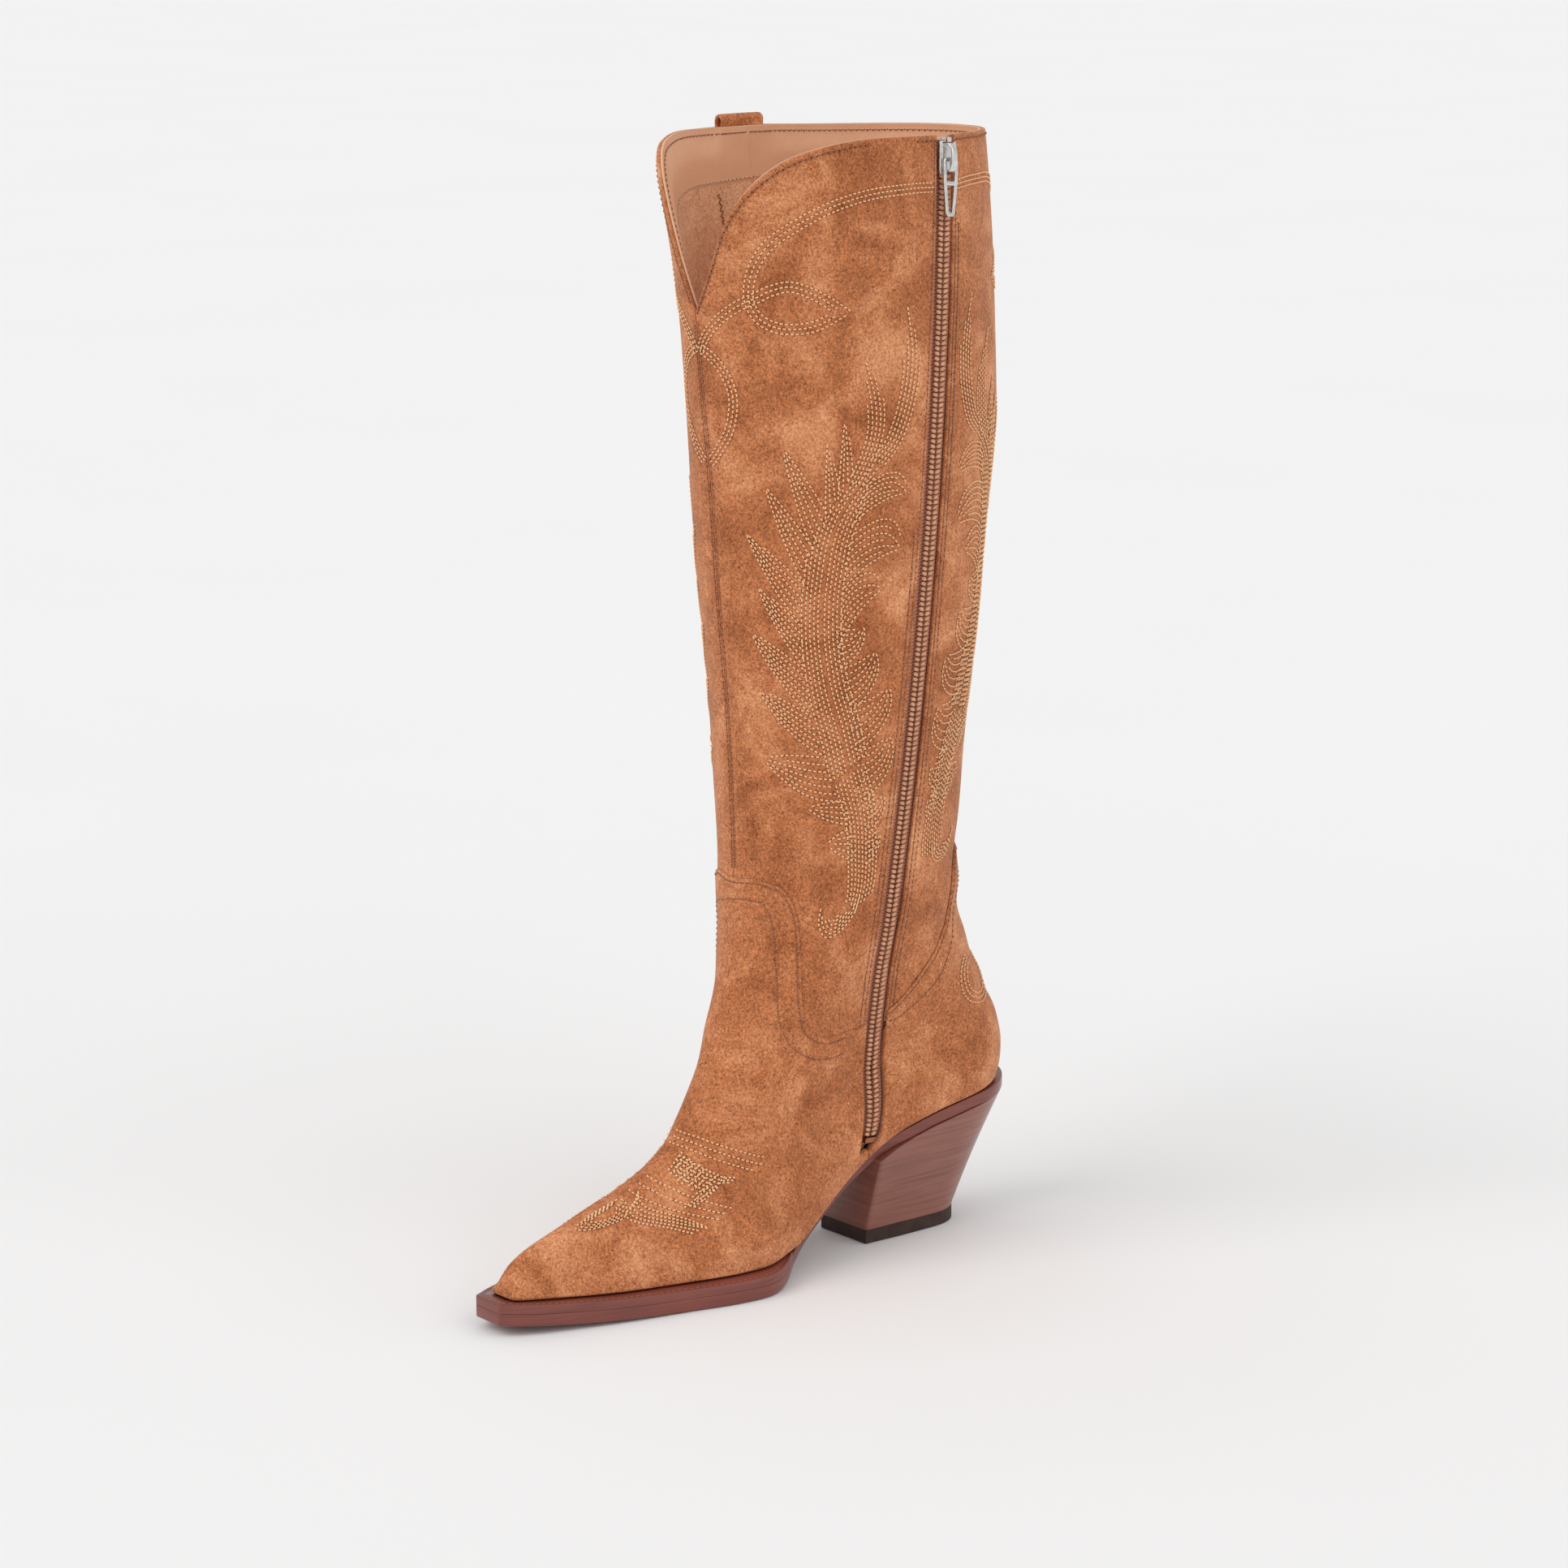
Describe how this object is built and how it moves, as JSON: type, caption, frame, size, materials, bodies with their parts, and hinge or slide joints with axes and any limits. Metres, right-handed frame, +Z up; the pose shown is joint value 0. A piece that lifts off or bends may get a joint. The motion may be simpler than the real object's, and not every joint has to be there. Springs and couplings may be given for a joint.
{
  "type": "cowboy boot",
  "caption": "Knee-high western boot with a snip toe, embroidered suede panels, a stacked block heel, a pull loop and a full-length zip on its inner side.",
  "frame": {"origin": "on the ground, under the middle of the boot's bounding box", "axes": "+Z up, toe towards -Y, heel towards +Y, the inner side of the foot, with the zip, towards +X"},
  "size_m": [0.0924, 0.261, 0.4587],
  "materials": {
    "suede": "napped suede, camel brown, mottled",
    "lining": "matte lining leather",
    "collar_facing": "smooth satin leather",
    "stacked_leather": "burnished, stacked grain",
    "heel_rubber": "matte moulded rubber",
    "fibre_board": "pressed leather board",
    "steel": "plain",
    "nickel": "satin nickel plate",
    "zip_tape": "woven tape",
    "zip_coil": "satin coil"
  },
  "bodies": {
    "boot": {"bottom_stop": "nickel", "facing_back": "collar_facing", "facing_front_lateral": "collar_facing", "facing_front_medial": "collar_facing", "forepart_filler": "fibre_board", "heel_block": "stacked_leather", "heel_cushion": "fibre_board", "heel_foxing": "suede", "heel_lining": "lining", "heel_nail_1": "steel", "heel_nail_2": "steel", "heel_nail_3": "steel", "heel_nail_4": "steel", "heel_screw": "steel", "heel_stiffener": "fibre_board", "heel_tip": "heel_rubber", "insole_board": "fibre_board", "leg_lining_back": "lining", "leg_lining_front_lateral": "lining", "leg_lining_front_medial": "lining", "outsole": "stacked_leather", "pull_loop": "suede", "shaft_back": "suede", "shaft_front_lateral": "suede", "shaft_front_medial": "suede", "shank": "steel", "sock_lining": "collar_facing", "toe_puff": "fibre_board", "top_piece_dowel_1": "steel", "top_piece_dowel_2": "steel", "top_stop_front": "nickel", "top_stop_rear": "nickel", "vamp": "suede", "vamp_lining": "lining", "welt": "stacked_leather", "zip_coil_front": "zip_coil", "zip_coil_rear": "zip_coil", "zip_guard": "lining", "zip_tape_front": "zip_tape", "zip_tape_rear": "zip_tape"},
    "slider": {"slider_body": "nickel", "slider_crown": "nickel"},
    "puller": {"puller": "nickel"}
  },
  "joints": [
    {"name": "slider_travel", "type": "hinge", "parent": "boot", "child": "slider", "pos_m": [-1.69867, -0.10262, 0.33824], "axis": [-0.0922, 0.9935, -0.0666], "range_deg": [0, 9.5]},
    {"name": "puller_swing", "type": "hinge", "parent": "slider", "child": "puller", "pos_m": [0.04411, 0.06618, 0.44305], "axis": [0.0922, -0.9935, 0.0666], "range_deg": [0, 165]}
  ]
}
